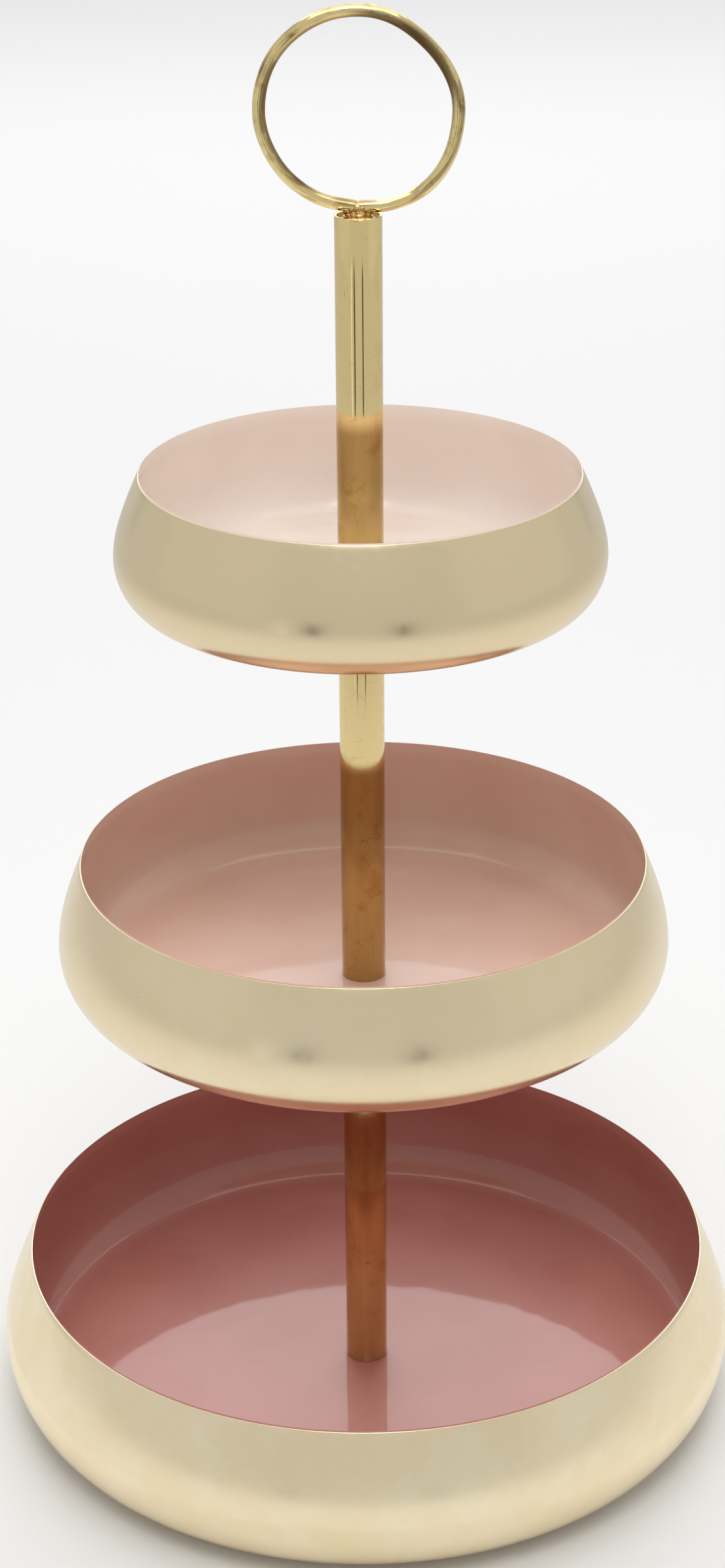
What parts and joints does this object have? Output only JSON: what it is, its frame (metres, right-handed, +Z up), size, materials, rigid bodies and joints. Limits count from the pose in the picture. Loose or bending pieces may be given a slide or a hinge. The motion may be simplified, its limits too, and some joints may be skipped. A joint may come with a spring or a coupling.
{
  "type": "tiered cake stand",
  "caption": "Tiered cake stand: spun brass bowls with enamelled insides, screwed together on a straight tube stem with a ring handle on top.",
  "frame": {"origin": "on the stem's axis, on the surface that the stand's pads rest on", "axes": "+Z up along the stem, +X to the right across the ring handle's plane, -Y towards a viewer who faces the ring"},
  "size_m": [0.3, 0.3, 0.5632],
  "materials": {
    "bowl_brass": "satin-polished spun brass with faint smudges and specks",
    "tube_brass": "polished drawn brass tube",
    "ring_brass": "polished brass wire, darkened in places",
    "insert_brass": "plain turned brass",
    "cap_brass": "dull heat-greyed brass",
    "braze": "uneven gold braze",
    "fastener_steel": "zinc-plated steel",
    "rose_enamel": "glossy deep rose enamel coat",
    "pink_enamel": "glossy dusty pink enamel coat",
    "blush_enamel": "glossy pale blush enamel coat",
    "pad_silicone": "soft translucent grey silicone"
  },
  "bodies": {
    "base": {"base_pad_1": "pad_silicone", "base_pad_2": "pad_silicone", "base_pad_3": "pad_silicone", "base_pad_4": "pad_silicone", "base_washer": "fastener_steel", "base_screw": "fastener_steel", "bottom_bowl_shell": "bowl_brass", "bottom_bowl_enamel": "rose_enamel", "lower_tube": "tube_brass", "lower_tube_foot_insert": "insert_brass", "lower_tube_top_insert": "insert_brass"},
    "middle_bowl": {"middle_bowl_shell": "bowl_brass", "middle_bowl_enamel": "pink_enamel"},
    "middle_stem": {"middle_tube": "tube_brass", "middle_tube_foot_insert": "insert_brass", "middle_tube_top_insert": "insert_brass", "middle_stud": "fastener_steel"},
    "top_bowl": {"top_bowl_shell": "bowl_brass", "top_bowl_enamel": "blush_enamel"},
    "upper_stem": {"upper_tube": "tube_brass", "upper_tube_foot_insert": "insert_brass", "upper_stud": "fastener_steel", "handle_cap": "cap_brass", "handle_braze": "braze", "ring_handle": "ring_brass"}
  },
  "joints": [
    {"name": "middle_tier_turn", "type": "hinge", "parent": "base", "child": "middle_bowl", "pos_m": [0, 0, 0.1844], "axis": [0, 0, 1], "range_deg": [0, 2304]},
    {"name": "middle_stem_rise", "type": "slide", "parent": "middle_bowl", "child": "middle_stem", "axis": [0, 0, 1], "range_m": [0, 0.00801]},
    {"name": "top_tier_turn", "type": "hinge", "parent": "middle_stem", "child": "top_bowl", "pos_m": [0, 0, 0.3457], "axis": [0, 0, 1], "range_deg": [0, 2304]},
    {"name": "upper_stem_rise", "type": "slide", "parent": "top_bowl", "child": "upper_stem", "axis": [0, 0, 1], "range_m": [0, 0.00801]}
  ],
  "couplings": [
    {"joint": "middle_stem_rise", "follows": "middle_tier_turn", "m_per_rad": 0.00019894},
    {"joint": "upper_stem_rise", "follows": "top_tier_turn", "m_per_rad": 0.00019894}
  ]
}
